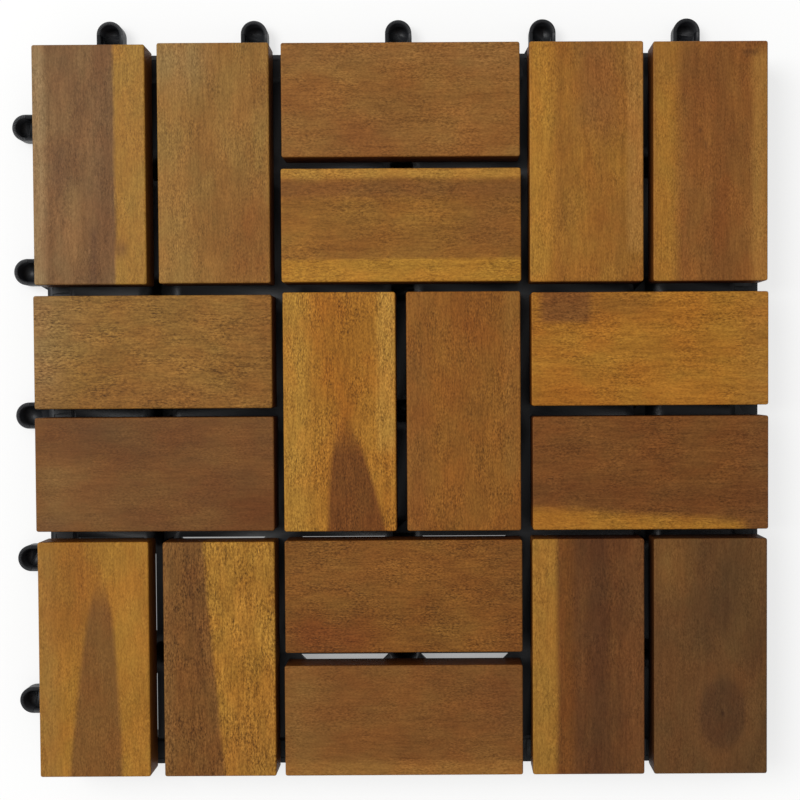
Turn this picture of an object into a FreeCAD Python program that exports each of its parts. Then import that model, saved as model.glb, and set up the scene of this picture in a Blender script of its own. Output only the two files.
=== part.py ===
import FreeCAD, Part
import math
import os
from FreeCAD import Vector

# Interlocking deck tile: eighteen short hardwood slats, laid as a basket weave
# of nine squares, are screwed from below to one moulded lattice base. Sockets
# on the left and top sides of the base take the pegs of the tiles beside it.
# Millimetres, +Z up. The origin is on the floor, in the middle of the tile.
# The tile is seen from above with +X to the right and +Y to the top.

# Module and slats
slat_length = 95.5
slat_gap = 4.5
slat_thickness = 12.0
square_pitch = slat_length + slat_gap
slat_width = (slat_length - slat_gap) / 2
squares_each_way = 3
tile_pitch = square_pitch * squares_each_way
wood_half = (tile_pitch - slat_gap) / 2
top_edge_radius = 0.8

# Base lattice
base_height = 12.0
plate_thickness = 2.0
rib_thickness = 1.6
rib_lift = 2.0
cell_pitch = square_pitch / 2
edge_inset = 0.25
rim_thickness = 2.0
rim_corner_radius = 3.0
trough_width = 8.3
strap_width = 8.0
square_band = 7.0
pair_band = 5.5
slim_band = 3.6
plain_band = 1.6

# Feet, hollow from above, at the crossings of every other line
foot_radius = 6.5
foot_wall = 1.8
foot_floor = 1.5
foot_sides = 8

# Screw posts and screws
post_radius = 4.2
post_lift = 4.5
post_sides = 8
screw_shank_radius = 1.6
screw_length = 15.0
screw_head_radius = 3.0
screw_head_height = 2.0
screw_clearance = 0.15
shank_sides = 6
head_sides = 8

# Sockets and pegs. Each row of them sits a little off the middle of its side,
# towards the gussets, and the pegs sit off by as much to meet the sockets.
joint_pitch = 60.0
joints_per_side = 5
joint_offset = -1.3
socket_reach = 7.0
socket_inner_radius = 4.0
socket_wall = 1.5
socket_height = 5.5
socket_floor = 1.0
gusset_spread = 2.6
gusset_run = 4.5
peg_clearance = 0.3
peg_floor_gap = 0.3
peg_lead_in = 0.8
bridge_thickness = 2.2
notch_clearance = 0.8
notch_side_room = 2.2

# How far a cutting solid runs past the face that it opens
cut_allowance = 1.0

# Places worked out from the sizes above
deck_top = base_height + slat_thickness
base_half = wood_half - edge_inset
rim_inner = base_half - rim_thickness
trough_inner = rim_inner - trough_width
lattice_inner = trough_inner - rim_thickness
plate_bottom = base_height - plate_thickness
socket_outer_radius = socket_inner_radius + socket_wall
socket_centre = tile_pitch / 2 + socket_reach
peg_centre = tile_pitch / 2 - socket_reach
peg_radius = socket_inner_radius - peg_clearance
notch_height = socket_height + notch_clearance
notch_half = socket_outer_radius + notch_side_room
rim_height = notch_height + bridge_thickness
strap_offset = strap_width / 2 * math.sqrt(2)
joint_places = [
    (index - (joints_per_side - 1) / 2) * joint_pitch + joint_offset
    for index in range(joints_per_side)
]
cells_each_way = squares_each_way * 2
cell_centres = [
    (index - (cells_each_way - 1) / 2) * cell_pitch for index in range(cells_each_way)
]
line_places = [
    (index - cells_each_way / 2) * cell_pitch for index in range(1, cells_each_way)
]

# Slats: name, column and row of the square, which of the pair. A pair lies
# upright where column plus row is even, and level elsewhere.
slats = [
    ("slat_nw_left", -1, 1, -1),
    ("slat_nw_right", -1, 1, 1),
    ("slat_n_upper", 0, 1, 1),
    ("slat_n_lower", 0, 1, -1),
    ("slat_ne_left", 1, 1, -1),
    ("slat_ne_right", 1, 1, 1),
    ("slat_w_upper", -1, 0, 1),
    ("slat_w_lower", -1, 0, -1),
    ("slat_c_left", 0, 0, -1),
    ("slat_c_right", 0, 0, 1),
    ("slat_e_upper", 1, 0, 1),
    ("slat_e_lower", 1, 0, -1),
    ("slat_sw_left", -1, -1, -1),
    ("slat_sw_right", -1, -1, 1),
    ("slat_s_upper", 0, -1, 1),
    ("slat_s_lower", 0, -1, -1),
    ("slat_se_left", 1, -1, -1),
    ("slat_se_right", 1, -1, 1),
]


def block(x0, y0, z0, x1, y1, z1):
    """A box between two corners."""
    return Part.makeBox(x1 - x0, y1 - y0, z1 - z0, Vector(x0, y0, z0))


def prism(points, z0, z1):
    """A closed outline of (x, y) points raised from z0 to z1."""
    corners = [Vector(x, y, z0) for x, y in points]
    face = Part.Face(Part.makePolygon(corners + corners[:1]))
    return face.extrude(Vector(0, 0, z1 - z0))


def regular_prism(x, y, flat_radius, sides, z0, z1):
    """A prism whose flats lie at the given radius, with a flat facing +X."""
    corner = flat_radius / math.cos(math.pi / sides)
    angles = [(index + 0.5) * 2 * math.pi / sides for index in range(sides)]
    outline = [(x + corner * math.cos(a), y + corner * math.sin(a)) for a in angles]
    return prism(outline, z0, z1)


def turned(profile, x, y):
    """A profile of (radius, z) points turned about an upright axis at x, y."""
    corners = [Vector(radius, 0, z) for radius, z in profile]
    face = Part.Face(Part.makePolygon(corners + corners[:1]))
    solid = face.revolve(Vector(0, 0, 0), Vector(0, 0, 1), 360)
    solid.translate(Vector(x, y, 0))
    return solid


def fused(pieces):
    """One solid from pieces that overlap."""
    return pieces[0].multiFuse(pieces[1:]).removeSplitter()


def band_of(line, level):
    """Width of the top band along a lattice line.

    Lines between two squares carry a wide band, and lines between the two
    slats of a pair a narrower one. The lowest two level lines are slimmer, so
    the floor shows beside them.
    """
    steps = round(line / cell_pitch)
    if level and steps == -2:
        return plain_band
    if level and steps == -1:
        return slim_band
    return square_band if steps % 2 else pair_band


def strap_opening(cx, cy, turn):
    """One of the four three-sided openings of a lattice cell, between its
    two diagonal straps and the line that lies on the given side of it."""
    step = 1 if turn in (0, 270) else -1
    level = turn in (0, 180)
    line = (cy if level else cx) + step * cell_pitch / 2
    reach = cell_pitch / 2 - band_of(line, level) / 2
    half = reach - strap_offset
    outline = [(0, strap_offset), (half, reach), (-half, reach)]
    opening = prism(outline, plate_bottom, base_height)
    opening.rotate(Vector(0, 0, 0), Vector(0, 0, 1), turn)
    opening.translate(Vector(cx, cy, 0))
    return opening


def lattice_plate():
    """The flat top of the lattice, with its three-sided openings."""
    outer, inner = trough_inner, lattice_inner
    plate = block(-outer, -outer, plate_bottom, outer, outer, base_height)
    window = block(-inner, -inner, plate_bottom, inner, inner, base_height)
    openings = [
        strap_opening(cx, cy, turn)
        for cx in cell_centres for cy in cell_centres for turn in (0, 90, 180, 270)
    ]
    return plate.cut(window.common(Part.makeCompound(openings)))


def straight_ribs():
    """Upright ribs under every lattice line, both ways."""
    half = rib_thickness / 2
    ribs = []
    for place in line_places:
        rib = block(
            -trough_inner, place - half, rib_lift, trough_inner, place + half, plate_bottom
        )
        ribs.append(rib)
        across = rib.copy()
        across.rotate(Vector(0, 0, 0), Vector(0, 0, 1), 90)
        ribs.append(across)
    return ribs


def rounded_square(half, radius, z0, z1):
    """A square block with its four upright edges rounded."""
    solid = block(-half, -half, z0, half, half, z1)
    uprights = [e for e in solid.Edges if e.BoundBox.ZLength > (z1 - z0) / 2]
    return solid.makeFillet(radius, uprights)


def outer_rim():
    """The low wall around the base, rounded at its corners."""
    solid = rounded_square(base_half, rim_corner_radius, 0, rim_height)
    return solid.cut(block(-rim_inner, -rim_inner, 0, rim_inner, rim_inner, rim_height))


def inner_rim():
    """The wall that closes the ribbed part of the base off from the trough."""
    outer, inner = trough_inner, lattice_inner
    solid = block(-outer, -outer, rib_lift, outer, outer, plate_bottom)
    return solid.cut(block(-inner, -inner, rib_lift, inner, inner, plate_bottom))


def foot_places():
    """Crossings that carry a foot."""
    return [(x, y) for x in line_places[::2] for y in line_places]


def foot(x, y):
    return regular_prism(x, y, foot_radius, foot_sides, 0, base_height)


def foot_pit(x, y):
    return regular_prism(x, y, foot_radius - foot_wall, foot_sides, foot_floor, deck_top)


def socket_body():
    """A socket of the left side, at y = 0, with its neck back to the rim."""
    centre = -socket_centre
    cup = Part.makeCylinder(socket_outer_radius, socket_height, Vector(centre, 0, 0))
    spread = socket_outer_radius + gusset_spread
    outline = [
        (centre, socket_outer_radius),
        (centre, -socket_outer_radius),
        (-base_half - gusset_run, -socket_outer_radius),
        (-base_half, -spread),
        (-rim_inner, -spread),
        (-rim_inner, socket_outer_radius),
    ]
    return cup.fuse(prism(outline, 0, socket_height))


def socket_hollow():
    """The round blind space inside a socket, open at its top."""
    return Part.makeCylinder(
        socket_inner_radius,
        socket_height - socket_floor + cut_allowance,
        Vector(-socket_centre, 0, socket_floor),
    )


def peg():
    """A peg of the right side, at y = 0, with the bridge that carries it."""
    tip = socket_floor + peg_floor_gap
    stud = turned(
        [
            (0, tip),
            (peg_radius - peg_lead_in, tip),
            (peg_radius, tip + peg_lead_in),
            (peg_radius, notch_height + bridge_thickness),
            (0, notch_height + bridge_thickness),
        ],
        peg_centre,
        0,
    )
    bridge = block(
        trough_inner - rim_thickness / 2, -notch_half, notch_height,
        base_half, notch_half, notch_height + bridge_thickness,
    )
    return stud.fuse(bridge)


def peg_notch():
    """The way under the rim for the neighbour's socket, at y = 0."""
    return block(
        rim_inner - cut_allowance, -notch_half, -cut_allowance,
        base_half + cut_allowance, notch_half, notch_height,
    )


def placed(shape, x, y, turn):
    """A copy moved by x, y and then turned about the tile's middle."""
    copy = shape.copy()
    copy.translate(Vector(x, y, 0))
    copy.rotate(Vector(0, 0, 0), Vector(0, 0, 1), turn)
    return copy


def base_grid():
    """The whole moulded base as one solid."""
    notches = [
        placed(peg_notch(), 0, place, turn) for place in joint_places for turn in (0, -90)
    ]
    pieces = [outer_rim().cut(Part.makeCompound(notches)), inner_rim(), lattice_plate()]
    pieces += straight_ribs()
    pieces += [foot(x, y) for x, y in foot_places()]
    pieces += [
        regular_prism(x, y, post_radius, post_sides, post_lift, plate_bottom)
        for x in cell_centres for y in cell_centres
    ]
    for place in joint_places:
        for turn in (0, -90):
            pieces.append(placed(socket_body(), 0, place, turn))
            pieces.append(placed(peg(), 0, place, turn))
    for place in line_places:
        for turn in (0, 90, 180, 270):
            tie = block(
                trough_inner - rim_thickness / 2, place - rib_thickness / 2, notch_height,
                base_half - rim_thickness / 2, place + rib_thickness / 2, rim_height,
            )
            pieces.append(placed(tie, 0, 0, turn))
    solid = fused(pieces)
    hollows = [foot_pit(x, y) for x, y in foot_places()]
    hollows += [
        placed(socket_hollow(), 0, place, turn) for place in joint_places for turn in (0, -90)
    ]
    bore = screw_shank_radius + screw_clearance
    hollows += [
        regular_prism(x, y, bore, shank_sides, 0, base_height + cut_allowance)
        for x in cell_centres for y in cell_centres
    ]
    return solid.cut(Part.makeCompound(hollows))


def screw(x, y):
    """A pan-head screw driven upwards through a post into a slat."""
    seat = post_lift
    head = regular_prism(x, y, screw_head_radius, head_sides, seat - screw_head_height, seat)
    shank = regular_prism(x, y, screw_shank_radius, shank_sides, seat, seat + screw_length)
    return head.fuse(shank)


def pilot_hole(x, y):
    """The hole in a slat that the screw's shank fills."""
    top = post_lift + screw_length + screw_clearance
    radius = screw_shank_radius + screw_clearance
    return regular_prism(x, y, radius, shank_sides, base_height - cut_allowance, top)


def slat(column, row, side):
    """One slat, in its place, with its eased edges and two pilot holes."""
    upright = (column + row) % 2 == 0
    half_x, half_y = slat_width / 2, slat_length / 2
    shift_x, shift_y = side * cell_pitch / 2, 0
    if not upright:
        half_x, half_y = half_y, half_x
        shift_x, shift_y = shift_y, shift_x
    x = column * square_pitch + shift_x
    y = row * square_pitch + shift_y
    solid = block(x - half_x, y - half_y, base_height, x + half_x, y + half_y, deck_top)
    middle = base_height + slat_thickness / 2
    rim = [e for e in solid.Edges if e.BoundBox.ZMin > middle]
    solid = solid.makeFillet(top_edge_radius, rim)
    holes = []
    for end in (-1, 1):
        along = end * cell_pitch / 2
        hole_x = x if upright else x + along
        hole_y = y + along if upright else y
        holes.append(pilot_hole(hole_x, hole_y))
    return solid.cut(Part.makeCompound(holes))


def export(name, shape):
    shape.exportStep("parts/" + name + ".step")
    print(name, len(shape.Solids), shape.isValid(), round(shape.Volume / 1000, 2), "cm3")


def main():
    os.makedirs("parts", exist_ok=True)
    export("base_grid", base_grid())
    for name, column, row, side in slats:
        export(name, slat(column, row, side))
    screws = [screw(x, y) for x in cell_centres for y in cell_centres]
    export("slat_screws", Part.makeCompound(screws))


main()
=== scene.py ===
import math

import bmesh
import bpy
from mathutils import Matrix, Vector


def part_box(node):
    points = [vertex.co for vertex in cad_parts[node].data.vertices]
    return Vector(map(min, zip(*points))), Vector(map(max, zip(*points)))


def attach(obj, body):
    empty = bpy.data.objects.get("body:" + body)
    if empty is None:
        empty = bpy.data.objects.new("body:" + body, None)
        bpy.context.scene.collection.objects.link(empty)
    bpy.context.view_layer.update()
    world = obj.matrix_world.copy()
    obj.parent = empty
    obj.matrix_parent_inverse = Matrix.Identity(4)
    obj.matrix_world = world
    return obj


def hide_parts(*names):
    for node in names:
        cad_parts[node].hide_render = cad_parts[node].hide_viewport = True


bl_info = {
    "name": "Interlocking deck tile",
    "version": (1, 0, 0),
    "blender": (4, 5, 0),
    "location": "View3D > Sidebar > Deck tile",
    "description": "Dresses the deck tile: eighteen grained slats, moulded base and screws",
    "category": "Object",
}

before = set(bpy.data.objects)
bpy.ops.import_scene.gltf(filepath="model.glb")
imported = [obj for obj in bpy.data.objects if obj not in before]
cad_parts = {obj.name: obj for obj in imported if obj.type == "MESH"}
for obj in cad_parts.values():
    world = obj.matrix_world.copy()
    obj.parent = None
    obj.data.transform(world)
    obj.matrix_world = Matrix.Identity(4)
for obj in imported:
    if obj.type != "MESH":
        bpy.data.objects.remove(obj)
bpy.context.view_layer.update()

# Sizes, in metres
MM = 0.001
CELL_PITCH = 50 * MM
CELLS_EACH_WAY = 6
JOINT_PITCH = 60 * MM
SOCKET_CENTRE = 157 * MM
SOCKET_RADIUS = 4.0 * MM
SOCKET_FLOOR = 1.0 * MM
SOCKET_TOP = 5.5 * MM
SOCKET_ROOT = 148.3 * MM
JOINT_OFFSET = -1.3 * MM
JOINTS_PER_SIDE = 5
TROUGH_INNER = 137 * MM
TROUGH_OUTER = 145.7 * MM
WEB_BOTTOM = 7.0 * MM
WEB_TOP = 8.2 * MM
STRIP_ENDS = ((-134 * MM, -105 * MM), (61 * MM, 94 * MM), (105 * MM, 137 * MM))
STRIP_EDGES = (-54 * MM, -50 * MM)
STRIP_LEVELS = (10.2 * MM, 11.8 * MM)
ROUND_SEGMENTS = 6
SMOOTH_DEGREES = 35
WELD = 0.001 * MM

# Screws: the head meets its post at the seat. Outlines are (radius, height) in
# millimetres: the point from the tip down, and the neck and head from the seat down.
# The thread, in millimetres too, starts below the tip and stops above the seat.
SCREW_SEAT = 4.5 * MM
SCREW_LENGTH = 15 * MM
HEAD_HEIGHT = 2 * MM
POINT_OUTLINE = ((0.0, 0.0), (0.5, -1.2))
HEAD_OUTLINE = (
    (1.45, 0.6), (1.5, 0.0), (2.95, 0.0), (3.0, -0.5),
    (2.85, -1.2), (2.4, -1.7), (1.2, -1.93), (0.0, -2.0),
)
THREAD_RADIUS = 1.55
THREAD_ROOT = 1.1
THREAD_PITCH = 1.1
THREAD_START = 1.6
THREAD_STOP = 1.5
RECESS_SPAN = 3.1 * MM
RECESS_WIDTH = 0.84 * MM
RECESS_DEPTH = 1.45 * MM
RECESS_TAPER = (0.3, 0.8, 1.0)

# Layers of noise: how wide, long and deep one figure of each is, in millimetres, then
# the noise's detail and roughness
SWAY_LAYER = ((24, 60, 24), 1.0, 0.5)
BLOTCH_LAYER = ((9, 24, 9), 3.0, 0.6)
LINE_LAYER = ((2.2, 60, 2.2), 2.0, 0.6)
STREAK_LAYER = ((0.85, 8, 0.85), 2.0, 0.6)
FLECK_LAYER = ((0.48, 1.15, 0.48), 3.0, 0.65)
DASH_LAYER = ((0.42, 3.6, 0.42), 1.0, 0.5)
SPREAD_LAYER = ((9, 16, 9), 1.0, 0.5)
HUE_LAYER = ((11, 20, 11), 2.0, 0.6)
CLOUD_LAYER = ((14, 14, 14), 3.0, 0.6)
TEXTURE_LAYER = ((0.35, 0.35, 0.35), 2.0, 0.5)
SCUFF_LAYER = ((0.8, 0.8, 0.8), 3.0, 0.5)
NOISE_MIDDLE = 0.5

# Values between which each layer comes in, and how level a face is where the darker tone
# of the slat's sides, part sawn wood and part painted shade, gives way to that of its top
BLOTCH_RANGE = (0.3, 0.7)
HUE_RANGE = (0.3, 0.7)
SPREAD_RANGE = (0.38, 0.62)
DASH_RANGE = (0.58, 0.72)
LEVEL_RANGE = (0.25, 0.7)
CLOUD_RANGE = (0.3, 0.75)
SCUFF_RANGE = (0.35, 0.7)

# How far a slat's seed moves it through the layers, how strongly they change its tone,
# how much more green and blue follow that than red, how much of its middle tone is
# laid over its dark and light ones, and how far, in millimetres, the streaks feather
# the edges of its marks
SEED_STEPS = (131.0, 217.0, 59.0)
FLECK_DEPTH = 1.75
STREAK_DEPTH = 0.75
LINE_DEPTH = 0.3
DASH_DEPTH = 0.62
GREEN_POWER = 1.1
BLUE_POWER = 1.3
MIDDLE_SHARE = 0.35
FEATHER = 1.6

# Marks: a flame's soft edge and apex in millimetres, a knot's dark core and outer reach
# as shares of its reach, its rings and eye in millimetres, and how much softer a patch
# is along the grain than across it
FLAME_EDGE = (-1.3, 1.5)
FLAME_APEX = (-3.0, 16.0)
KNOT_CORE = 0.55
KNOT_FAR = 1.5
RING_PITCH = 2.6
RING_START = 2.0
RING_DEPTH = 0.12
EYE_EDGE = (0.2, 1.0)
EYE_DEPTH = 0.7
SOFTER_ALONG = 1.5

# Tints and colours that all slats share
WARM_TINT = "#fff8ee"
COOL_TINT = "#f8fffa"
# The sides' tint: darker sawn wood, with painted shade of the narrow gaps between slats
SAWN_AND_SHADE_TINT = "#b09a92"
DASH_COLOUR = "#3a210f"
EYE_COLOUR = "#3a2213"

# Finishes. Pairs that follow a layer are how much it adds, and the least; a bump's
# are its distance in metres and its strength.
FLECK_LIVELINESS = (0.6, 0.7)
WOOD_SPECULAR = 0.12
WOOD_ROUGHNESS = (0.2, 0.42)
WOOD_BUMP = (0.00008, 0.3)
DASH_DENT = -0.8
PLASTIC_SPECULAR = 0.35
PLASTIC_ROUGHNESS = (0.2, 0.34)
PLASTIC_BUMP = (0.00005, 0.25)
DUST_SHARE = 0.2
ZINC_ROUGHNESS = (0.3, 0.2)
ZINC_BUMP = (0.00003, 0.3)
FLOOR_SPECULAR = 0.1
FLOOR_ROUGHNESS = 0.9

# Layout of a node tree: nodes in a row, and the steps between nodes and rows
NODES_IN_ROW = 8
NODE_STEPS = (200, 260)

# Floor and light: the floor's glow to the camera, how much of it is left under the tile as
# painted shade and where that ends, the surround and the key lamp
FLOOR_SQUARES = 8
FLOOR_GLOW = 0.68
SHADED_GLOW = 0.5
SHADE_EDGE = (146 * MM, 147.5 * MM)
FLOOR_DROP = 0.02 * MM
SURROUND_LIGHT = 0.55
KEY_SIZE = 2.0
KEY_ENERGY = 62.0
KEY_PLACE = (-1.9, 0.9, 2.6)

# The camera: place, lens and sensor in millimetres, turns in radians, shifts as shares
# of the frame
CAMERA_PLACE = (16.568, 12.845, 474.568)
CAMERA_TURNS = (-0.0224, 0.0001, -0.0055)
CAMERA_SHIFT = (-0.0536, 0.0058)
CAMERA_LENS = 50.36
CAMERA_SENSOR = 36.0
CAMERA_NEAR = 10 * MM


# Marks that a slat's wood can have


def patch(across, along, half_across, half_along, soft, colour, strength, slant=0.0):
    """A soft-edged area of another tone; slant leans it as it runs along the slat."""
    return {
        "kind": "patch", "at": (across, along), "half": (half_across, half_along),
        "soft": soft, "colour": colour, "strength": strength, "slant": slant,
    }


def flame(across, apex, drift, spread, colour, strength):
    """Dark heartwood that widens from an apex towards the slat's lower end."""
    return {
        "kind": "flame", "at": (across, apex), "drift": drift, "spread": spread,
        "colour": colour, "strength": strength,
    }


def knot(across, along, stretch, reach, colour, strength):
    """A dark oval about a small knot, with faint rings."""
    return {
        "kind": "knot", "at": (across, along), "stretch": stretch, "reach": reach,
        "colour": colour, "strength": strength,
    }


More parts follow.
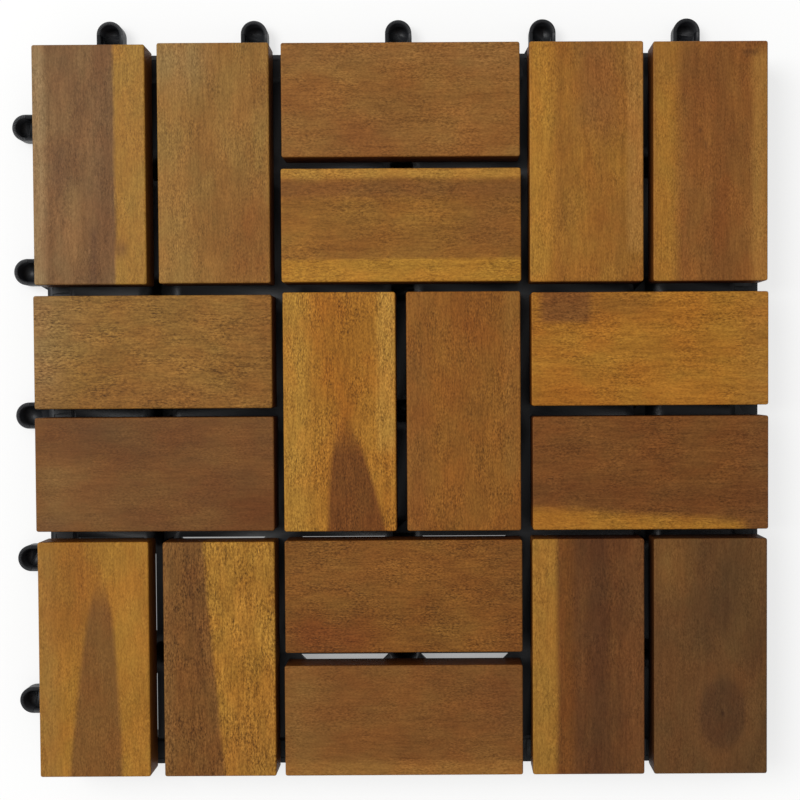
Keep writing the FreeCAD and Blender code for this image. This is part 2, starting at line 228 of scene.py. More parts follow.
# Slats: which way the grain runs, how strong its flecks and dark dashes are, the
# tones from dark to light, and marks. Trim is what the saw took off at its left, right,
# lower and upper side, in millimetres, with a minus where it left that much on. Places
# on a slat are in millimetres from its middle: across the grain, from the left (or from
# the top on a level slat), and along it, from the bottom (or from the left).
SLATS = {
    "slat_nw_left": {
        "upright": True, "seed": 1.0, "contrast": 0.82, "dashes": 0.2,
        "trim": (0.2, 0, -0.5, 0.1),
        "dark": "#6f4f37", "base": "#7b593e", "light": "#886547",
        "marks": [
            # Pale greyish band at the tile's left margin: painted sheen over the wood's own tone
            patch(-20.8, 0, 3.0, 99, 2.2, "#987a5e", 0.9),
            patch(-12, -2, 4.0, 9, 4.0, "#70503c", 0.5),
            patch(-6, -25, 3.2, 16, 3.0, "#906b49", 0.6),
            patch(5.5, 0, 4.0, 99, 3.0, "#735038", 0.7),
            patch(1.6, -38, 1.3, 12, 1.5, "#5d4030", 0.65),
            patch(17.2, 0, 6.9, 99, 1.0, "#a2763a", 0.95),
            patch(12.2, -34, 2.2, 3, 2.0, "#7d5738", 0.7),
        ],
    },
    "slat_nw_right": {
        "upright": True, "seed": 2.3, "contrast": 0.95, "dashes": 0.4,
        "trim": (0.3, 0.3, -0.2, -0.4),
        "dark": "#835b30", "base": "#8d6435", "light": "#99703f",
        "marks": [
            patch(-18, 0, 8, 99, 7, "#97703f", 0.85),
            # Pale greyish patch at the slat's upper end: painted sheen over the wood's own tone
            patch(-15, 42, 13, 10, 8, "#987852", 0.75),
            patch(15, -30, 9, 17, 7, "#845329", 0.75),
            patch(19, 6, 3.6, 10, 3, "#93713f", 0.5),
        ],
    },
    "slat_n_upper": {
        "upright": False, "seed": 3.7, "contrast": 1.0, "dashes": 0.3,
        "trim": (0, -0.2, 0, -0.2),
        "dark": "#805229", "base": "#895b2e", "light": "#936637",
        "marks": [
            patch(-17, 38, 8, 15, 8, "#90683d", 0.8),
            patch(-19, -10, 5, 60, 5, "#8b6138", 0.6),
            patch(14, -14, 6, 12, 6, "#80512a", 0.8),
        ],
    },
    "slat_n_lower": {
        "upright": False, "seed": 4.1, "contrast": 1.0, "dashes": 0.4,
        "trim": (-0.4, -0.5, 0, 0),
        "dark": "#825526", "base": "#8d5e2b", "light": "#9a6b31",
        "marks": [
            patch(-20.6, 0, 2.0, 99, 0.9, "#ad7d3b", 0.9),
            patch(-14.6, 0, 3.4, 99, 2.4, "#7b4f29", 0.85),
            patch(7, 12, 5, 48, 4, "#825426", 0.5),
            patch(-2, 38, 12, 12, 8, "#7b5029", 0.75),
            patch(19.4, 0, 5.6, 99, 1.0, "#a9772f", 0.95),
        ],
    },
    "slat_ne_left": {
        "upright": True, "seed": 5.9, "contrast": 0.9, "dashes": 0.3,
        "trim": (-0.5, 0.3, -0.3, -0.2),
        "dark": "#895929", "base": "#94632b", "light": "#a06e31",
        "marks": [
            patch(5, 32, 9, 20, 7, "#865730", 0.85),
            patch(-19, -6, 5.5, 60, 3.4, "#ab7834", 0.85),
            patch(19.4, 8, 3.4, 44, 1.4, "#9f6f3c", 0.85),
        ],
    },
    "slat_ne_right": {
        "upright": True, "seed": 6.4, "contrast": 0.8, "dashes": 0.2,
        "trim": (-0.9, 0.4, -0.3, 0),
        "dark": "#774a27", "base": "#83532b", "light": "#8f5e30",
        "marks": [
            patch(3.8, 0, 3.4, 99, 3, "#7a4a26", 0.7),
            patch(-19, -10, 4.8, 60, 3.4, "#a27232", 0.9),
            patch(-19, 42, 5, 12, 5, "#906031", 0.5),
            patch(19.6, -4, 3.4, 48, 2.2, "#9b6e3b", 0.9),
            patch(15.5, 43, 3.0, 1.0, 1.0, "#5e3d24", 0.7),
            patch(-5, 12, 0.5, 0.9, 0.4, "#5b3820", 0.7),
            patch(-2.6, 6, 0.7, 1.8, 0.8, "#6a4225", 0.6),
        ],
    },
    "slat_w_upper": {
        "upright": False, "seed": 7.2, "contrast": 1.3, "dashes": 1.0,
        "trim": (-0.4, -0.1, -0.5, 0.4),
        "dark": "#7f5629", "base": "#8b6230", "light": "#976e3a",
        "marks": [
            # Pale greyish patch at the slat's left end: painted sheen over the wood's own tone
            patch(0, -47, 99, 7, 8, "#937554", 0.8),
            patch(-10, -34, 12, 8, 8, "#8f6e43", 0.6),
            patch(-6, 45, 20, 8, 9, "#82562b", 0.7),
            patch(19, 10, 5, 60, 5, "#84592d", 0.6),
        ],
    },
    "slat_w_lower": {
        "upright": False, "seed": 8.8, "contrast": 0.68, "dashes": 0.0,
        "trim": (-0.4, -0.5, -0.1, -0.5),
        "dark": "#674126", "base": "#724a2a", "light": "#7b532f",
        "marks": [
            patch(6, -39, 13, 8, 9, "#845f3a", 0.85),
            patch(10, -24, 10, 8, 8, "#7c5431", 0.6),
            patch(-18, -22, 5, 10, 6, "#61422a", 0.75),
            patch(21, -42, 3.5, 6, 4, "#6c5037", 0.6),
            patch(18, 44, 11, 14, 10, "#673d20", 0.85),
        ],
    },
    "slat_c_left": {
        "upright": True, "seed": 9.5, "contrast": 1.3, "dashes": 0.7,
        "trim": (-0.1, 0.2, -0.5, -0.5),
        "dark": "#9a6426", "base": "#a46e2b", "light": "#ae7832",
        "marks": [
            patch(-19, 0, 6, 99, 5, "#ac7c37", 0.85),
            patch(1, 24, 10, 24, 7, "#9a6121", 0.85),
            patch(19, 18, 3.6, 34, 2.0, "#b38340", 0.85),
            patch(2, -6, 4, 8, 5, "#92591f", 0.7),
            flame(1.5, -3, 0.11, 1.8, "#6c3f1d", 0.95),
            patch(-12.6, 4.6, 0.6, 0.3, 0.3, "#553313", 0.8),
        ],
    },
    "slat_c_right": {
        "upright": True, "seed": 10.2, "contrast": 1.1, "dashes": 0.6,
        "trim": (-0.4, -0.1, -0.5, -0.5),
        "dark": "#805022", "base": "#895725", "light": "#935f29",
        "marks": [
            patch(-20, 45, 4, 5, 6, "#936330", 0.8),
            patch(3, 40, 9, 12, 7, "#824a1d", 0.6),
            patch(-20, -18, 5, 44, 5, "#81512a", 0.5),
            patch(20, 16, 3.6, 44, 2.4, "#8f612f", 0.6),
        ],
    },
    "slat_e_upper": {
        "upright": False, "seed": 11.6, "contrast": 1.05, "dashes": 0.5,
        "trim": (0, 0.05, -0.2, 0),
        "dark": "#986124", "base": "#a16b28", "light": "#aa752f",
        "marks": [
            patch(18, -26, 6, 20, 6, "#9b6223", 0.7),
            patch(0, 45, 99, 6, 8, "#9d6d34", 0.7),
            patch(-18, -22, 5, 22, 5, "#885525", 0.7),
            patch(-18, -34, 7, 10, 1.6, "#764927", 0.85),
        ],
    },
    "slat_e_lower": {
        "upright": False, "seed": 12.4, "contrast": 1.0, "dashes": 0.6,
        "trim": (0.3, 0.05, -0.4, 0),
        "dark": "#694020", "base": "#744723", "light": "#7d4f28",
        "marks": [
            patch(9, 0, 4, 99, 3, "#693f20", 0.7, 0.06),
            patch(0, 45, 99, 7, 8, "#6d472a", 0.6),
            patch(27.5, -14, 10, 52, 2.8, "#a5702b", 0.88, 0.07),
        ],
    },
    "slat_sw_left": {
        "upright": True, "seed": 13.1, "contrast": 0.76, "dashes": 0.1,
        "trim": (0, 0.6, 0.05, -0.2),
        "dark": "#966628", "base": "#9f6e2e", "light": "#a97835",
        "marks": [
            patch(-19.5, -14, 4.5, 60, 4.5, "#986f3c", 0.7),
            patch(-8, 26, 9, 20, 7, "#925f28", 0.85),
            patch(13, 24, 6, 30, 5, "#a97632", 0.6),
            flame(2.6, 34, -0.03, 1.2, "#774f2b", 0.92),
        ],
    },
    "slat_sw_right": {
        "upright": True, "seed": 14.7, "contrast": 1.5, "dashes": 1.0,
        "trim": (0.6, -0.4, 0.05, 0),
        "dark": "#936326", "base": "#a06f2e", "light": "#ae7d38",
        "marks": [
            patch(12, -40, 14, 14, 12, "#93632d", 0.7),
            patch(-21.6, 0, 20, 99, 1.3, "#734b28", 0.95, -0.082),
            patch(-21.5, 0, 3, 99, 3, "#7e5833", 0.7),
            patch(-7.6, 16, 2.4, 30, 2.4, "#684223", 0.6, -0.08),
        ],
    },
    "slat_s_upper": {
        "upright": False, "seed": 15.3, "contrast": 1.3, "dashes": 0.8,
        "trim": (-0.1, -0.5, 0.2, -0.3),
        "dark": "#724720", "base": "#7d5024", "light": "#885a2a",
        "marks": [
            patch(-10, -26, 10, 22, 8, "#84562a", 0.5),
            patch(16, -30, 7, 16, 6, "#753f1e", 0.75),
            patch(0, 44, 99, 7, 8, "#764823", 0.6),
        ],
    },
    "slat_s_lower": {
        "upright": False, "seed": 16.9, "contrast": 0.85, "dashes": 0.2,
        "trim": (-0.5, -0.5, 0.05, 0.5),
        "dark": "#714725", "base": "#7a4e28", "light": "#84572e",
        "marks": [
            patch(0, -43, 99, 7, 8, "#865d33", 0.85),
            patch(-6, 42, 13, 10, 9, "#6f4526", 0.8),
            patch(20.6, 0, 3.6, 99, 2.2, "#946636", 0.85),
        ],
    },
    "slat_se_left": {
        "upright": True, "seed": 17.5, "contrast": 0.9, "dashes": 0.1,
        "trim": (0, 0.2, 0.05, -0.5),
        "dark": "#583520", "base": "#623d22", "light": "#6c4527",
        "marks": [
            patch(19.5, 0, 4, 99, 4, "#6d4528", 0.85),
            patch(3.6, 0, 4.0, 99, 3.2, "#543420", 0.8),
            patch(-9.6, 0, 3.2, 99, 2.8, "#78481f", 0.65),
            patch(-19.6, 0, 6.6, 99, 1.6, "#9e7033", 0.95),
        ],
    },
    "slat_se_right": {
        "upright": True, "seed": 18.8, "contrast": 0.7, "dashes": 0.0,
        "trim": (-0.9, 0.5, 0.05, -0.4),
        "dark": "#543823", "base": "#5d3f26", "light": "#67472b",
        "marks": [
            patch(-15, 0, 8, 60, 7, "#674529", 0.7),
            patch(-17, 38, 7, 12, 8, "#7b5630", 0.8),
            patch(18, 40, 8, 10, 8, "#684529", 0.6),
            patch(2, 22, 7, 12, 7, "#523925", 0.7),
            knot(4, -23, 1.55, 19, "#6b472b", 0.7),
            knot(4, -23, 1.55, 12, "#503422", 0.85),
        ],
    },
}


# Colours and shader nodes


def linear(text):
    """A colour written as #rrggbb, by the sRGB curve, as the values that a shader takes."""
    parts = [int(text[i:i + 2], 16) / 255 for i in (1, 3, 5)]
    parts = [c / 12.92 if c <= 0.04045 else ((c + 0.055) / 1.055) ** 2.4 for c in parts]
    return (*parts, 1.0)


class Tree:
    """Adds shader nodes to a tree and joins them."""

    def __init__(self, tree):
        self.tree = tree
        self.count = 0

    def add(self, kind, inputs=None, **settings):
        """A node of a kind, with its settings made and its inputs fed."""
        node = self.tree.nodes.new(kind)
        row, column = divmod(self.count, NODES_IN_ROW)
        node.location = (column * NODE_STEPS[0], -row * NODE_STEPS[1])
        self.count += 1
        for key, value in settings.items():
            setattr(node, key, value)
        for key, value in (inputs or {}).items():
            self.feed(node.inputs[key], value)
        return node

    def feed(self, socket, value):
        """Links the value to the socket if it is one itself, and else sets it there."""
        if isinstance(value, bpy.types.NodeSocket):
            self.tree.links.new(value, socket)
        else:
            socket.default_value = value

    def math(self, operation, *values, clamp=False):
        node = self.add("ShaderNodeMath", operation=operation, use_clamp=clamp)
        for socket, value in zip(node.inputs, values):
            self.feed(socket, value)
        return node.outputs[0]

    def mix(self, factor, first, second, blend="MIX"):
        """Two colours mixed, by the colour sockets of a Mix node."""
        node = self.add("ShaderNodeMix", data_type="RGBA", blend_type=blend)
        self.feed(node.inputs[0], factor)
        self.feed(node.inputs[6], first)
        self.feed(node.inputs[7], second)
        return node.outputs[2]

    def ramp(self, value, low, high, to_low=0.0, to_high=1.0):
        """A smooth step from one output to another as the value goes from low to high."""
        inputs = {"Value": value, "From Min": low, "From Max": high, "To Min": to_low, "To Max": to_high}
        return self.add("ShaderNodeMapRange", inputs, interpolation_type="SMOOTHSTEP").outputs[0]

    def layer(self, vector, size, detail, roughness):
        """Noise whose figures have a size of their own along each axis."""
        scale = tuple(1 / length for length in size)
        scaled = self.add("ShaderNodeMapping", {"Vector": vector, "Scale": scale}).outputs[0]
        inputs = {"Vector": scaled, "Scale": 1.0, "Detail": detail, "Roughness": roughness}
        return self.add("ShaderNodeTexNoise", inputs).outputs[0]

    def split(self, vector):
        return self.add("ShaderNodeSeparateXYZ", {0: vector}).outputs

    def join(self, x, y, z):
        return self.add("ShaderNodeCombineXYZ", {0: x, 1: y, 2: z}).outputs[0]

    def group(self, name, **values):
        """The outputs of a shared effect, given its input values."""
        return self.add("ShaderNodeGroup", values, node_tree=bpy.data.node_groups[name]).outputs


def new_group(name, inputs, outputs):
    """A shared effect: (its tree, its input sockets, its output sockets)."""
    tree = bpy.data.node_groups.new(name, "ShaderNodeTree")
    for label, kind, value in inputs:
        socket = tree.interface.new_socket(label, in_out="INPUT", socket_type="NodeSocket" + kind)
        if value is not None:
            socket.default_value = value
    for label, kind in outputs:
        tree.interface.new_socket(label, in_out="OUTPUT", socket_type="NodeSocket" + kind)
    work = Tree(tree)
    source = work.add("NodeGroupInput").outputs
    sink = work.add("NodeGroupOutput").inputs
    return work, source, sink


# Effects that materials share


def wood_figure_group():
    """Grain that follows a slat's length: wavy coordinates and six layers."""
    work, source, sink = new_group(
        "Wood figure",
        [("Vector", "Vector", None), ("Seed", "Float", 0.0), ("Wave", "Float", 2.4)],
        [
            ("Bent", "Vector"), ("Blotch", "Float"), ("Line", "Float"),
            ("Streak", "Float"), ("Fleck", "Float"), ("Dash", "Float"), ("Hue", "Float"),
        ],
    )
    away = work.join(*(work.math("MULTIPLY", source["Seed"], step) for step in SEED_STEPS))
    placed = work.add("ShaderNodeVectorMath", {0: source["Vector"], 1: away}, operation="ADD").outputs[0]
    slow = work.layer(placed, *SWAY_LAYER)
    sway = work.math("MULTIPLY", work.math("SUBTRACT", slow, NOISE_MIDDLE), source["Wave"])
    x, y, z = work.split(source["Vector"])
    work.feed(sink["Bent"], work.join(work.math("ADD", x, sway), y, z))
    px, py, pz = work.split(placed)
    bent = work.join(work.math("ADD", px, sway), py, pz)
    work.feed(sink["Blotch"], work.layer(bent, *BLOTCH_LAYER))
    work.feed(sink["Line"], work.layer(bent, *LINE_LAYER))
    work.feed(sink["Streak"], work.layer(bent, *STREAK_LAYER))
    spread = work.ramp(work.layer(placed, *SPREAD_LAYER), *SPREAD_RANGE)
    flecks = work.layer(bent, *FLECK_LAYER)
    liveliness = work.math("MULTIPLY_ADD", spread, *FLECK_LIVELINESS)
    lively = work.math("MULTIPLY", work.math("SUBTRACT", flecks, NOISE_MIDDLE), liveliness)
    work.feed(sink["Fleck"], work.math("ADD", lively, NOISE_MIDDLE))
    dashes = work.ramp(work.layer(bent, *DASH_LAYER), *DASH_RANGE)
    work.feed(sink["Dash"], work.math("MULTIPLY", dashes, spread))
    work.feed(sink["Hue"], work.layer(placed, *HUE_LAYER))


def wood_finish_group():
    """Flecks, dark dashes, sides darkened as sawn wood and by painted shade, and a dull oiled sheen over a
    slat's colour.
    """
    settings = bpy.context.scene.tile_settings
    work, source, sink = new_group(
        "Wood finish",
        [
            ("Colour", "Color", None), ("Normal", "Vector", None), ("Line", "Float", 0.5),
            ("Streak", "Float", 0.5), ("Fleck", "Float", 0.5), ("Dash", "Float", 0.0),
            ("Hue", "Float", 0.5), ("Contrast", "Float", 1.0), ("Dashes", "Float", 0.0),
        ],
        [("Colour", "Color"), ("Roughness", "Float"), ("Height", "Float")],
    )
    fleck, streak, line = (
        work.math("MULTIPLY", work.math("SUBTRACT", source[layer], NOISE_MIDDLE), depth)
        for layer, depth in (("Fleck", FLECK_DEPTH), ("Streak", STREAK_DEPTH), ("Line", LINE_DEPTH))
    )
    fine = work.math("MULTIPLY", work.math("ADD", fleck, streak), source["Contrast"])
    shade = work.math("ADD", work.math("ADD", fine, 1.0), line)
    green, blue = (work.math("POWER", shade, power) for power in (GREEN_POWER, BLUE_POWER))
    tint = work.join(shade, green, blue)
    leaning = work.mix(work.ramp(source["Hue"], *HUE_RANGE), linear(WARM_TINT), linear(COOL_TINT))
    oiled = work.mix(1.0, source["Colour"], tuple(settings.oil_tint), "MULTIPLY")
    toned = work.mix(1.0, work.mix(1.0, oiled, leaning, "MULTIPLY"), tint, "MULTIPLY")
    depth = work.math("MULTIPLY", work.math("MULTIPLY", source["Dash"], source["Dashes"]), DASH_DEPTH)
    dashed = work.mix(depth, toned, linear(DASH_COLOUR))
    level = work.math("ABSOLUTE", work.split(source["Normal"])[2])
    # Upright faces darkened: partly sawn wood, partly painted shade of the gaps between slats
    sawn_and_shaded = work.mix(1.0, dashed, linear(SAWN_AND_SHADE_TINT), "MULTIPLY")
    work.feed(sink["Colour"], work.mix(work.ramp(level, *LEVEL_RANGE, 1.0, 0.0), dashed, sawn_and_shaded))
    work.feed(sink["Roughness"], work.math("MULTIPLY_ADD", source["Fleck"], *WOOD_ROUGHNESS))
    work.feed(sink["Height"], work.math("MULTIPLY_ADD", source["Dash"], DASH_DENT, source["Fleck"]))


def band_group():
    """1 within half a width of a centre, falling softly to 0 outside it."""
    work, source, sink = new_group(
        "Band",
        [("Value", "Float", 0.0), ("Centre", "Float", 0.0), ("Half", "Float", 1.0), ("Soft", "Float", 1.0)],
        [("Mask", "Float")],
    )
    distance = work.math("ABSOLUTE", work.math("SUBTRACT", source["Value"], source["Centre"]))
    inner = work.math("SUBTRACT", source["Half"], source["Soft"])
    outer = work.math("ADD", source["Half"], source["Soft"])
    work.feed(sink["Mask"], work.ramp(distance, inner, outer, 1.0, 0.0))


def flame_group():
    """Dark heartwood that opens from an apex along the grain."""
    work, source, sink = new_group(
        "Flame",
        [
            ("Vector", "Vector", None), ("Across", "Float", 0.0), ("Apex", "Float", 0.0),
            ("Drift", "Float", 0.0), ("Spread", "Float", 1.5),
        ],
        [("Mask", "Float")],
    )
    x, y, _ = work.split(source["Vector"])
    ahead = work.math("SUBTRACT", source["Apex"], y)
    reach = work.math("MAXIMUM", ahead, 0.0)
    centre = work.math("MULTIPLY_ADD", reach, source["Drift"], source["Across"])
    side = work.math("ABSOLUTE", work.math("SUBTRACT", x, centre))
    width = work.math("MULTIPLY", work.math("SQRT", reach), source["Spread"])
    inside = work.ramp(work.math("SUBTRACT", width, side), *FLAME_EDGE)
    work.feed(sink["Mask"], work.math("MULTIPLY", inside, work.ramp(ahead, *FLAME_APEX)))


def knot_group():
    """A dark oval that fades outwards, with faint rings and a small dark eye."""
    work, source, sink = new_group(
        "Knot",
        [
            ("Vector", "Vector", None), ("Across", "Float", 0.0), ("Along", "Float", 0.0),
            ("Stretch", "Float", 1.6), ("Reach", "Float", 14.0),
        ],
        [("Mask", "Float"), ("Eye", "Float")],
    )
    x, y, _ = work.split(source["Vector"])
    side = work.math("SUBTRACT", x, source["Across"])
    length = work.math("DIVIDE", work.math("SUBTRACT", y, source["Along"]), source["Stretch"])
    squares = (work.math("POWER", side, 2.0), work.math("POWER", length, 2.0))
    radius = work.math("SQRT", work.math("ADD", *squares))
    rings = work.math("SINE", work.math("MULTIPLY", radius, 2 * math.pi / RING_PITCH))
    core = work.math("MULTIPLY", source["Reach"], KNOT_CORE)
    dark = work.ramp(radius, core, source["Reach"], 1.0, 0.0)
    far = work.math("MULTIPLY", source["Reach"], KNOT_FAR)
    ringed = work.math("MULTIPLY", rings, work.ramp(radius, RING_START, far, RING_DEPTH, 0.0))
    work.feed(sink["Mask"], work.math("ADD", dark, ringed, clamp=True))
    work.feed(sink["Eye"], work.ramp(radius, *EYE_EDGE, 1.0, 0.0))


def plastic_group():
    """Moulded black plastic: fine spark-eroded texture and a little dust."""
    settings = bpy.context.scene.tile_settings
    work, source, sink = new_group(
        "Moulded plastic",
        [("Vector", "Vector", None)],
        [("Colour", "Color"), ("Roughness", "Float"), ("Height", "Float")],
    )
    cloud = work.layer(source["Vector"], *CLOUD_LAYER)
    texture = work.layer(source["Vector"], *TEXTURE_LAYER)
    dark, light, dust = (
        tuple(tone) for tone in (settings.plastic_dark, settings.plastic_light, settings.plastic_dust)
    )
    colour = work.mix(work.ramp(cloud, *CLOUD_RANGE), dark, light)
    work.feed(sink["Colour"], work.mix(work.math("MULTIPLY", texture, DUST_SHARE), colour, dust))
    work.feed(sink["Roughness"], work.math("MULTIPLY_ADD", cloud, *PLASTIC_ROUGHNESS))
    work.feed(sink["Height"], texture)


def make_groups():
    """Builds each shared effect once."""
    wood_figure_group()
    wood_finish_group()
    band_group()
    flame_group()
    knot_group()
    plastic_group()


# Materials


def new_material(name):
    """An empty material: (material, tree, its shader node, its output node)."""
    material = bpy.data.materials.new(name)
    material.use_nodes = True
    material.node_tree.nodes.clear()
    work = Tree(material.node_tree)
    shader = work.add("ShaderNodeBsdfPrincipled")
    output = work.add("ShaderNodeOutputMaterial")
    work.feed(output.inputs["Surface"], shader.outputs[0])
    return material, work, shader, output


def millimetres(work):
    """The object's coordinates in millimetres."""
    texture = work.add("ShaderNodeTexCoord")
    scale = (1 / MM, 1 / MM, 1 / MM)
    return work.add("ShaderNodeMapping", {"Vector": texture.outputs["Object"], "Scale": scale}).outputs[0]


def bumped(work, shader, height, distance, strength):
    """Dents the shader's surface by a height."""
    bump = work.add("ShaderNodeBump", {"Height": height, "Distance": distance, "Strength": strength})
    work.feed(shader.inputs["Normal"], bump.outputs[0])


def marked(work, figure, colour, mark):
    """The colour with one mark of the slat laid on it."""
    across, along = mark["at"]
    bent = figure["Bent"]
    if mark["kind"] == "flame":
        mask = work.group(
            "Flame", Vector=bent, Across=across, Apex=along, Drift=mark["drift"], Spread=mark["spread"],
        )["Mask"]
        return work.mix(work.math("MULTIPLY", mask, mark["strength"]), colour, linear(mark["colour"]))
    if mark["kind"] == "knot":
        rings = work.group(
            "Knot", Vector=bent, Across=across, Along=along, Stretch=mark["stretch"], Reach=mark["reach"],
        )
        mask = work.math("MULTIPLY", rings["Mask"], mark["strength"])
        shaded = work.mix(mask, colour, linear(mark["colour"]))
        return work.mix(work.math("MULTIPLY", rings["Eye"], EYE_DEPTH), shaded, linear(EYE_COLOUR))
    x, y, _ = work.split(bent)
    streak = work.math("SUBTRACT", figure["Streak"], NOISE_MIDDLE)
    feathered = work.math("MULTIPLY_ADD", streak, FEATHER, x)
    leaning = work.math("MULTIPLY_ADD", y, -mark["slant"], feathered)
    half_across, half_along = mark["half"]
    soft = mark["soft"]
    soft_along = soft * SOFTER_ALONG
    side = work.group("Band", Value=leaning, Centre=across, Half=half_across, Soft=soft)["Mask"]
    length = work.group("Band", Value=y, Centre=along, Half=half_along, Soft=soft_along)["Mask"]
    mask = work.math("MULTIPLY", work.math("MULTIPLY", side, length), mark["strength"])
    return work.mix(mask, colour, linear(mark["colour"]))


def slat_material(name, look):
    """Oiled hardwood with this slat's own tones and marks."""
    material, work, shader, _ = new_material(name + "_wood")
    low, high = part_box(name)
    centre = (Vector(low) + Vector(high)) / 2 / MM
    angle = 0.0 if look["upright"] else math.pi / 2
    turn = Matrix.Rotation(angle, 3, "Z")
    texture = work.add("ShaderNodeTexCoord")
    local = work.add(
        "ShaderNodeMapping",
        {
            "Vector": texture.outputs["Object"], "Location": -(turn @ centre),
            "Rotation": (0.0, 0.0, angle), "Scale": (1 / MM, 1 / MM, 1 / MM),
        },
    ).outputs[0]
    figure = work.group("Wood figure", Vector=local, Seed=look["seed"])
    blotch = work.ramp(figure["Blotch"], *BLOTCH_RANGE)
    colour = work.mix(blotch, linear(look["dark"]), linear(look["light"]))
    colour = work.mix(MIDDLE_SHARE, colour, linear(look["base"]))
    for mark in look["marks"]:
        colour = marked(work, figure, colour, mark)
    finish = work.group(
        "Wood finish", Colour=colour, Normal=texture.outputs["Normal"], Line=figure["Line"],
        Streak=figure["Streak"], Fleck=figure["Fleck"], Dash=figure["Dash"], Hue=figure["Hue"],
        Contrast=look["contrast"], Dashes=look["dashes"],
    )
    work.feed(shader.inputs["Base Color"], finish["Colour"])
    work.feed(shader.inputs["Roughness"], finish["Roughness"])
    shader.inputs["Specular IOR Level"].default_value = WOOD_SPECULAR
    bumped(work, shader, finish["Height"], *WOOD_BUMP)
    return material


def plastic_material():
    """The base's plastic, made once and shared by its pieces."""
    name = "base_plastic_look"
    if name in bpy.data.materials:
        return bpy.data.materials[name]
    material, work, shader, _ = new_material(name)
    plastic = work.group("Moulded plastic", Vector=millimetres(work))
    work.feed(shader.inputs["Base Color"], plastic["Colour"])
    work.feed(shader.inputs["Roughness"], plastic["Roughness"])
    shader.inputs["Specular IOR Level"].default_value = PLASTIC_SPECULAR
    bumped(work, shader, plastic["Height"], *PLASTIC_BUMP)
    return material


def screw_material():
    """Scuffed zinc plating."""
    settings = bpy.context.scene.tile_settings
    material, work, shader, _ = new_material("screw_zinc_look")
    scuff = work.layer(millimetres(work), *SCUFF_LAYER)
    dark, light = tuple(settings.zinc_dark), tuple(settings.zinc_light)
    colour = work.mix(work.ramp(scuff, *SCUFF_RANGE), dark, light)
    work.feed(shader.inputs["Base Color"], colour)
    work.feed(shader.inputs["Roughness"], work.math("MULTIPLY_ADD", scuff, *ZINC_ROUGHNESS))
    shader.inputs["Metallic"].default_value = 1.0
    bumped(work, shader, scuff, *ZINC_BUMP)
    return material


# Tools that make and finish a piece


def new_piece(name, mesh, material, replaced=None):
    """An object of the tile that rides with it, and may stand for a node."""
    mesh.materials.clear()
    mesh.materials.append(material)
    piece = bpy.data.objects.new(name, mesh)
    bpy.context.collection.objects.link(piece)
    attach(piece, "root")
    if replaced:
        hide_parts(replaced)
    return piece


def finished_mesh(shell, name):
    """The bmesh as a mesh; the bmesh is freed."""
    mesh = bpy.data.meshes.new(name)
    shell.to_mesh(mesh)
    shell.free()
    return mesh


def box_in(shell, place, size, about=None):
    """A box of a size at a place, moved by a matrix if one is given; gives its corners."""
    shape = Matrix.Translation(place) @ Matrix.Diagonal((*size, 1.0))
    if about is not None:
        shape = about @ shape
    return bmesh.ops.create_cube(shell, size=1.0, matrix=shape)["verts"]


def cut_mesh(mesh, *cutters):
    """The mesh with each cutter's mesh taken out of it."""
    items = [bpy.data.objects.new("to_cut", part) for part in (mesh, *cutters)]
    for item in items:
        bpy.context.collection.objects.link(item)
    body = items[0]
    for cutter in items[1:]:
        cut = body.modifiers.new("Cut", "BOOLEAN")
        cut.operation = "DIFFERENCE"
        cut.solver = "EXACT"
        cut.object = cutter
    seen = body.evaluated_get(bpy.context.evaluated_depsgraph_get())
    result = bpy.data.meshes.new_from_object(seen)
    for item in items:
        bpy.data.objects.remove(item)
    return result


def ease(shell, edges, radius, segments):
    """Rounds edges, or chamfers them with one segment."""
    bmesh.ops.bevel(
        shell, geom=edges, offset=radius, offset_type="OFFSET", segments=segments,
        profile=0.5, affect="EDGES", material=-1,
    )


def edges_at(shell, height):
    """The edges that lie level at a height."""
    return [
        edge for edge in shell.edges
        if all(abs(vert.co.z - height) < WELD for vert in edge.verts)
    ]


# Slats, base, web and screws


def slat_mesh(name, trim, settings):
    """A slat with crisp corners and eased edges, in its place, cut to its trim."""
    low, high = (Vector(corner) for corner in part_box(name))
    left, right, lower_side, upper_side = (value * MM for value in trim)
    low += Vector((left, lower_side, 0))
    high -= Vector((right, upper_side, 0))
    shell = bmesh.new()
    box_in(shell, (low + high) / 2, high - low)
    upright = [edge for edge in shell.edges if abs(edge.verts[0].co.z - edge.verts[1].co.z) > WELD]
    ease(shell, upright, settings.corner_radius, ROUND_SEGMENTS)
    ease(shell, edges_at(shell, high.z), settings.top_edge, ROUND_SEGMENTS)
    ease(shell, edges_at(shell, low.z), settings.low_edge, 1)
    for face in shell.faces:
        face.smooth = True
    return finished_mesh(shell, name + "_board")


def web_mesh():
    """A thin ring that closes the trough between the base's two outer walls, and strips
    that close three slots below the tile's middle row."""
    shell = bmesh.new()
    level = Matrix.Translation((0, 0, WEB_BOTTOM))
    bmesh.ops.create_grid(shell, x_segments=1, y_segments=1, size=TROUGH_OUTER, matrix=level)
    middle = shell.faces[:]
    width = TROUGH_OUTER - TROUGH_INNER
    bmesh.ops.inset_individual(shell, faces=middle, thickness=width, use_even_offset=True)
    bmesh.ops.delete(shell, geom=middle, context="FACES")
    ring = shell.faces[:]
    made = bmesh.ops.extrude_face_region(shell, geom=ring)["geom"]
    raised = [item for item in made if isinstance(item, bmesh.types.BMVert)]
    bmesh.ops.translate(shell, verts=raised, vec=(0, 0, WEB_TOP - WEB_BOTTOM))
    bmesh.ops.recalc_face_normals(shell, faces=shell.faces)
    for ends in STRIP_ENDS:
        low, high = (Vector(corner) for corner in zip(ends, STRIP_EDGES, STRIP_LEVELS))
        box_in(shell, (low + high) / 2, high - low)
    return finished_mesh(shell, "trough_web")


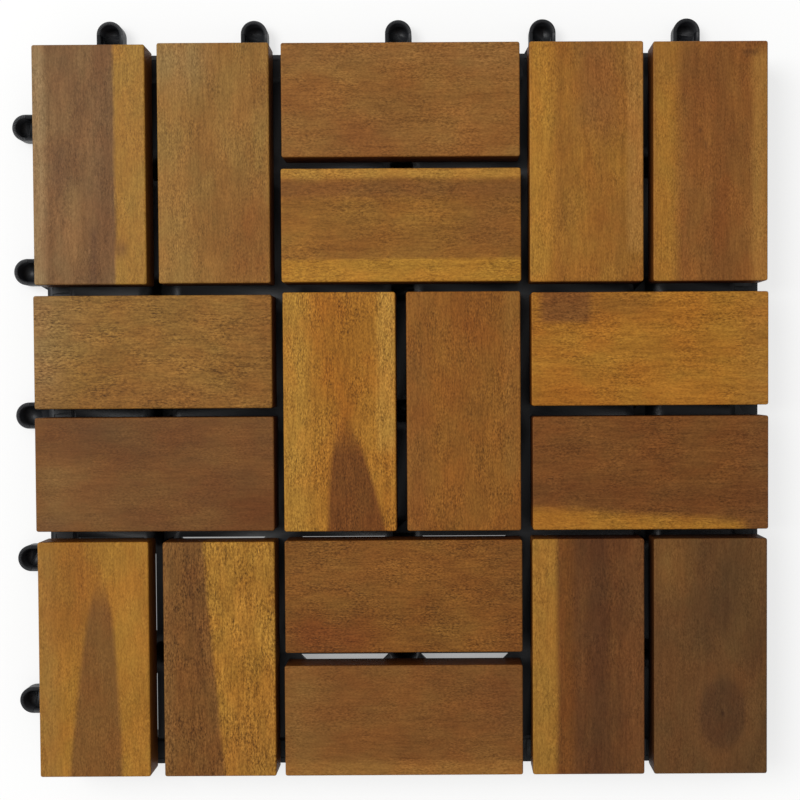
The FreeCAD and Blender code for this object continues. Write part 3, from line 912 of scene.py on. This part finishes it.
def slots_mesh():
    """Cutters that lengthen each socket's round hollow towards the tile."""
    shell = bmesh.new()
    size = (SOCKET_CENTRE - SOCKET_ROOT, 2 * SOCKET_RADIUS, 2 * (SOCKET_TOP - SOCKET_FLOOR))
    middle = -(SOCKET_CENTRE + SOCKET_ROOT) / 2
    for turn in (0, -math.pi / 2):
        about = Matrix.Rotation(turn, 4, "Z")
        for index in range(JOINTS_PER_SIDE):
            along = (index - (JOINTS_PER_SIDE - 1) / 2) * JOINT_PITCH + JOINT_OFFSET
            box_in(shell, (middle, along, SOCKET_TOP), size, about)
    return finished_mesh(shell, "socket_slots")


def base_mesh():
    """The base's own mesh, welded, with its sockets lengthened towards the tile."""
    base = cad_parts["base_grid"]
    shell = bmesh.new()
    shell.from_mesh(base.data)
    shell.transform(base.matrix_world)
    bmesh.ops.remove_doubles(shell, verts=shell.verts, dist=WELD)
    result = cut_mesh(finished_mesh(shell, "base_moulding"), slots_mesh())
    for face in result.polygons:
        face.material_index = 0
        face.use_smooth = True
    result.set_sharp_from_angle(angle=math.radians(SMOOTH_DEGREES))
    return result


def screw_outline():
    """(radius, height) down one screw, in millimetres, from its tip to its head's face."""
    seat = SCREW_SEAT / MM
    tip = seat + SCREW_LENGTH / MM
    points = [(radius, tip + height) for radius, height in POINT_OUTLINE]
    z = tip - THREAD_START
    while z > seat + THREAD_STOP:
        points += [(THREAD_RADIUS, z), (THREAD_ROOT, z - THREAD_PITCH / 2)]
        z -= THREAD_PITCH
    return points + [(radius, seat + height) for radius, height in HEAD_OUTLINE]


def screw_mesh(sides):
    """One screw on the Z axis, spun from its outline."""
    shell = bmesh.new()
    verts = [shell.verts.new((radius * MM, 0, z * MM)) for radius, z in screw_outline()]
    edges = [shell.edges.new(pair) for pair in zip(verts, verts[1:])]
    bmesh.ops.spin(
        shell, geom=verts + edges, cent=(0, 0, 0), axis=(0, 0, 1), dvec=(0, 0, 0),
        angle=2 * math.pi, steps=sides, use_merge=True,
    )
    bmesh.ops.remove_doubles(shell, verts=shell.verts, dist=WELD)
    bmesh.ops.recalc_face_normals(shell, faces=shell.faces)
    return finished_mesh(shell, "screw")


def recess_arm_mesh(turn):
    """A wedge that cuts one arm of a screw head's cross recess."""
    shell = bmesh.new()
    face = SCREW_SEAT - HEAD_HEIGHT
    verts = box_in(shell, (0, 0, face), (RECESS_SPAN, RECESS_WIDTH, 2 * RECESS_DEPTH))
    inner = [vert for vert in verts if vert.co.z > face]
    bmesh.ops.scale(shell, verts=inner, vec=RECESS_TAPER)
    bmesh.ops.rotate(shell, verts=shell.verts, cent=(0, 0, 0), matrix=Matrix.Rotation(turn, 3, "Z"))
    return finished_mesh(shell, "recess_arm")


def screws_mesh(sides):
    """All screws, each with a threaded shank and a cross recess in its head."""
    single = cut_mesh(screw_mesh(sides), recess_arm_mesh(0), recess_arm_mesh(math.pi / 2))
    places = [(i - (CELLS_EACH_WAY - 1) / 2) * CELL_PITCH for i in range(CELLS_EACH_WAY)]
    shell = bmesh.new()
    for x in places:
        for y in places:
            already = len(shell.verts)
            shell.from_mesh(single)
            shell.verts.ensure_lookup_table()
            bmesh.ops.translate(shell, verts=shell.verts[already:], vec=(x, y, 0))
    return finished_mesh(shell, "screws_detail")


# Floor, light and camera


def make_floor(size):
    """A pale floor that keeps the tile's shadow and looks white to the camera, with painted shade where its
    glow is dimmed under the tile.
    """
    shell = bmesh.new()
    bmesh.ops.create_grid(shell, x_segments=FLOOR_SQUARES, y_segments=FLOOR_SQUARES, size=size / 2)
    mesh = finished_mesh(shell, "floor")
    floor = bpy.data.objects.new("floor", mesh)
    floor.location.z = -FLOOR_DROP
    bpy.context.collection.objects.link(floor)
    material, work, shader, output = new_material("floor_look")
    shader.inputs["Base Color"].default_value = bpy.context.scene.tile_settings.floor_colour
    shader.inputs["Roughness"].default_value = FLOOR_ROUGHNESS
    shader.inputs["Specular IOR Level"].default_value = FLOOR_SPECULAR
    rays = work.add("ShaderNodeLightPath").outputs
    seen = work.math("MAXIMUM", rays["Is Camera Ray"], rays["Is Glossy Ray"])
    seen = work.math("MAXIMUM", seen, rays["Is Transmission Ray"])
    # Painted shade: the glow is dimmed within the tile's footprint
    x, y, _ = work.split(work.add("ShaderNodeTexCoord").outputs["Object"])
    outwards = work.math("MAXIMUM", work.math("ABSOLUTE", x), work.math("ABSOLUTE", y))
    shade = work.ramp(outwards, *SHADE_EDGE, SHADED_GLOW, 1.0)
    strength = work.math("MULTIPLY", work.math("MULTIPLY", seen, shade), FLOOR_GLOW)
    glow = work.add("ShaderNodeEmission", {"Color": (1, 1, 1, 1), "Strength": strength})
    total = work.add("ShaderNodeAddShader", {0: shader.outputs[0], 1: glow.outputs[0]})
    work.feed(output.inputs["Surface"], total.outputs[0])
    mesh.materials.append(material)


def make_surround():
    """An even pale surround, which the camera sees as white."""
    world = bpy.data.worlds.new("surround")
    bpy.context.scene.world = world
    world.use_nodes = True
    world.node_tree.nodes.clear()
    work = Tree(world.node_tree)
    rays = work.add("ShaderNodeLightPath").outputs
    strength = work.math("MULTIPLY_ADD", rays["Is Camera Ray"], 1 - SURROUND_LIGHT, SURROUND_LIGHT)
    glow = work.add("ShaderNodeBackground", {"Color": (1, 1, 1, 1), "Strength": strength})
    work.add("ShaderNodeOutputWorld", {"Surface": glow.outputs[0]})


def make_key_light():
    """Soft daylight from the upper left."""
    lamp = bpy.data.lights.new("key", "AREA")
    lamp.shape = "DISK"
    lamp.size = KEY_SIZE
    lamp.energy = KEY_ENERGY
    key = bpy.data.objects.new("key", lamp)
    key.location = KEY_PLACE
    key.rotation_euler = (-key.location).to_track_quat("-Z", "Y").to_euler()
    bpy.context.collection.objects.link(key)


def make_camera():
    """The photograph's view: almost straight down, a little right of the middle."""
    data = bpy.data.cameras.new("camera")
    data.sensor_width = CAMERA_SENSOR
    data.lens = CAMERA_LENS
    data.shift_x, data.shift_y = CAMERA_SHIFT
    data.clip_start = CAMERA_NEAR
    camera = bpy.data.objects.new("camera", data)
    camera.location = Vector(CAMERA_PLACE) * MM
    camera.rotation_euler = CAMERA_TURNS
    bpy.context.collection.objects.link(camera)
    bpy.context.scene.camera = camera


# Settings, and a step for each kind of piece


def length_setting(name, description, default, least, most):
    """A length in metres that a user may change."""
    return bpy.props.FloatProperty(
        name=name, description=description, default=default, min=least, max=most,
        precision=4, subtype="DISTANCE", unit="LENGTH",
    )


def colour_setting(name, description, default):
    """A colour that a user may change, its default written as #rrggbb."""
    return bpy.props.FloatVectorProperty(
        name=name, description=description, default=linear(default), size=4,
        min=0.0, max=1.0, subtype="COLOR",
    )


class TileSettings(bpy.types.PropertyGroup):
    """Sizes and colours of the dressed tile that a user may change."""

    corner_radius: length_setting(
        "Slat corner", "Radius of a slat's upright corners", 0.9 * MM, 0.8 * MM, 6 * MM
    )
    top_edge: length_setting(
        "Slat top edge", "Radius of the edges round a slat's top", 0.7 * MM, 0.3 * MM, 0.8 * MM
    )
    low_edge: length_setting(
        "Slat lower edge", "Chamfer round a slat's underside", 0.4 * MM, 0.1 * MM, 0.7 * MM
    )
    screw_sides: bpy.props.IntProperty(
        name="Screw sides", description="Faces round each screw", default=24, min=8, max=48
    )
    floor_size: length_setting("Floor size", "Side of the square floor", 4.0, 1.0, 10.0)
    oil_tint: colour_setting("Oil", "Tint that the oil gives to all the wood", "#fffbe2")
    plastic_dark: colour_setting("Plastic, dark", "Darkest tone of the moulded base", "#16171a")
    plastic_light: colour_setting("Plastic, light", "Palest tone of the moulded base", "#1e2023")
    plastic_dust: colour_setting("Plastic dust", "Tone of the dust in its texture", "#282a2e")
    zinc_dark: colour_setting("Zinc, dark", "Darkest tone of the screws", "#9a9b9c")
    zinc_light: colour_setting("Zinc, light", "Palest tone of the screws", "#c4c5c4")
    floor_colour: colour_setting("Floor", "Colour of the floor", "#9c9c9b")


class TILE_OT_slats(bpy.types.Operator):
    """Makes the eighteen slats"""

    bl_idname = "tile.slats"
    bl_label = "Make slats"

    def execute(self, context):
        for name, look in SLATS.items():
            mesh = slat_mesh(name, look["trim"], context.scene.tile_settings)
            board = new_piece(name + "_board", mesh, slat_material(name, look), name)
            normals = board.modifiers.new("Normals", "WEIGHTED_NORMAL")
            normals.keep_sharp = True
        return {"FINISHED"}


class TILE_OT_base(bpy.types.Operator):
    """Makes the moulded base, with its long sockets"""

    bl_idname = "tile.base"
    bl_label = "Make base"

    def execute(self, context):
        new_piece("base_moulding", base_mesh(), plastic_material(), "base_grid")
        return {"FINISHED"}


class TILE_OT_web(bpy.types.Operator):
    """Makes the web that closes the base's trough, and its strips"""

    bl_idname = "tile.web"
    bl_label = "Make trough web"

    def execute(self, context):
        new_piece("trough_web", web_mesh(), plastic_material())
        return {"FINISHED"}


class TILE_OT_screws(bpy.types.Operator):
    """Makes the screws under the tile"""

    bl_idname = "tile.screws"
    bl_label = "Make screws"

    def execute(self, context):
        mesh = screws_mesh(context.scene.tile_settings.screw_sides)
        new_piece("screws_detail", mesh, screw_material(), "slat_screws")
        return {"FINISHED"}


class TILE_OT_stage(bpy.types.Operator):
    """Makes the floor, the light and the camera"""

    bl_idname = "tile.stage"
    bl_label = "Make stage"

    def execute(self, context):
        make_floor(context.scene.tile_settings.floor_size)
        make_surround()
        make_key_light()
        make_camera()
        context.scene.view_settings.view_transform = "Standard"
        return {"FINISHED"}


STEPS = (TILE_OT_slats, TILE_OT_base, TILE_OT_web, TILE_OT_screws, TILE_OT_stage)


class TILE_PT_panel(bpy.types.Panel):
    """Sizes, colours and steps of the deck tile"""

    bl_label = "Deck tile"
    bl_idname = "TILE_PT_panel"
    bl_space_type = "VIEW_3D"
    bl_region_type = "UI"
    bl_category = "Deck tile"

    def draw(self, context):
        for name in TileSettings.__annotations__:
            self.layout.prop(context.scene.tile_settings, name)
        for step in STEPS:
            self.layout.operator(step.bl_idname)


# Starting and running


def register():
    for item in (TileSettings, *STEPS, TILE_PT_panel):
        bpy.utils.register_class(item)
    bpy.types.Scene.tile_settings = bpy.props.PointerProperty(type=TileSettings)


def unregister():
    del bpy.types.Scene.tile_settings
    for item in (TILE_PT_panel, *reversed(STEPS), TileSettings):
        bpy.utils.unregister_class(item)


def main():
    """Makes the whole scene, one step after another."""
    register()
    make_groups()
    bpy.ops.tile.slats()
    bpy.ops.tile.base()
    bpy.ops.tile.web()
    bpy.ops.tile.screws()
    bpy.ops.tile.stage()


if __name__ == "__main__":
    main()
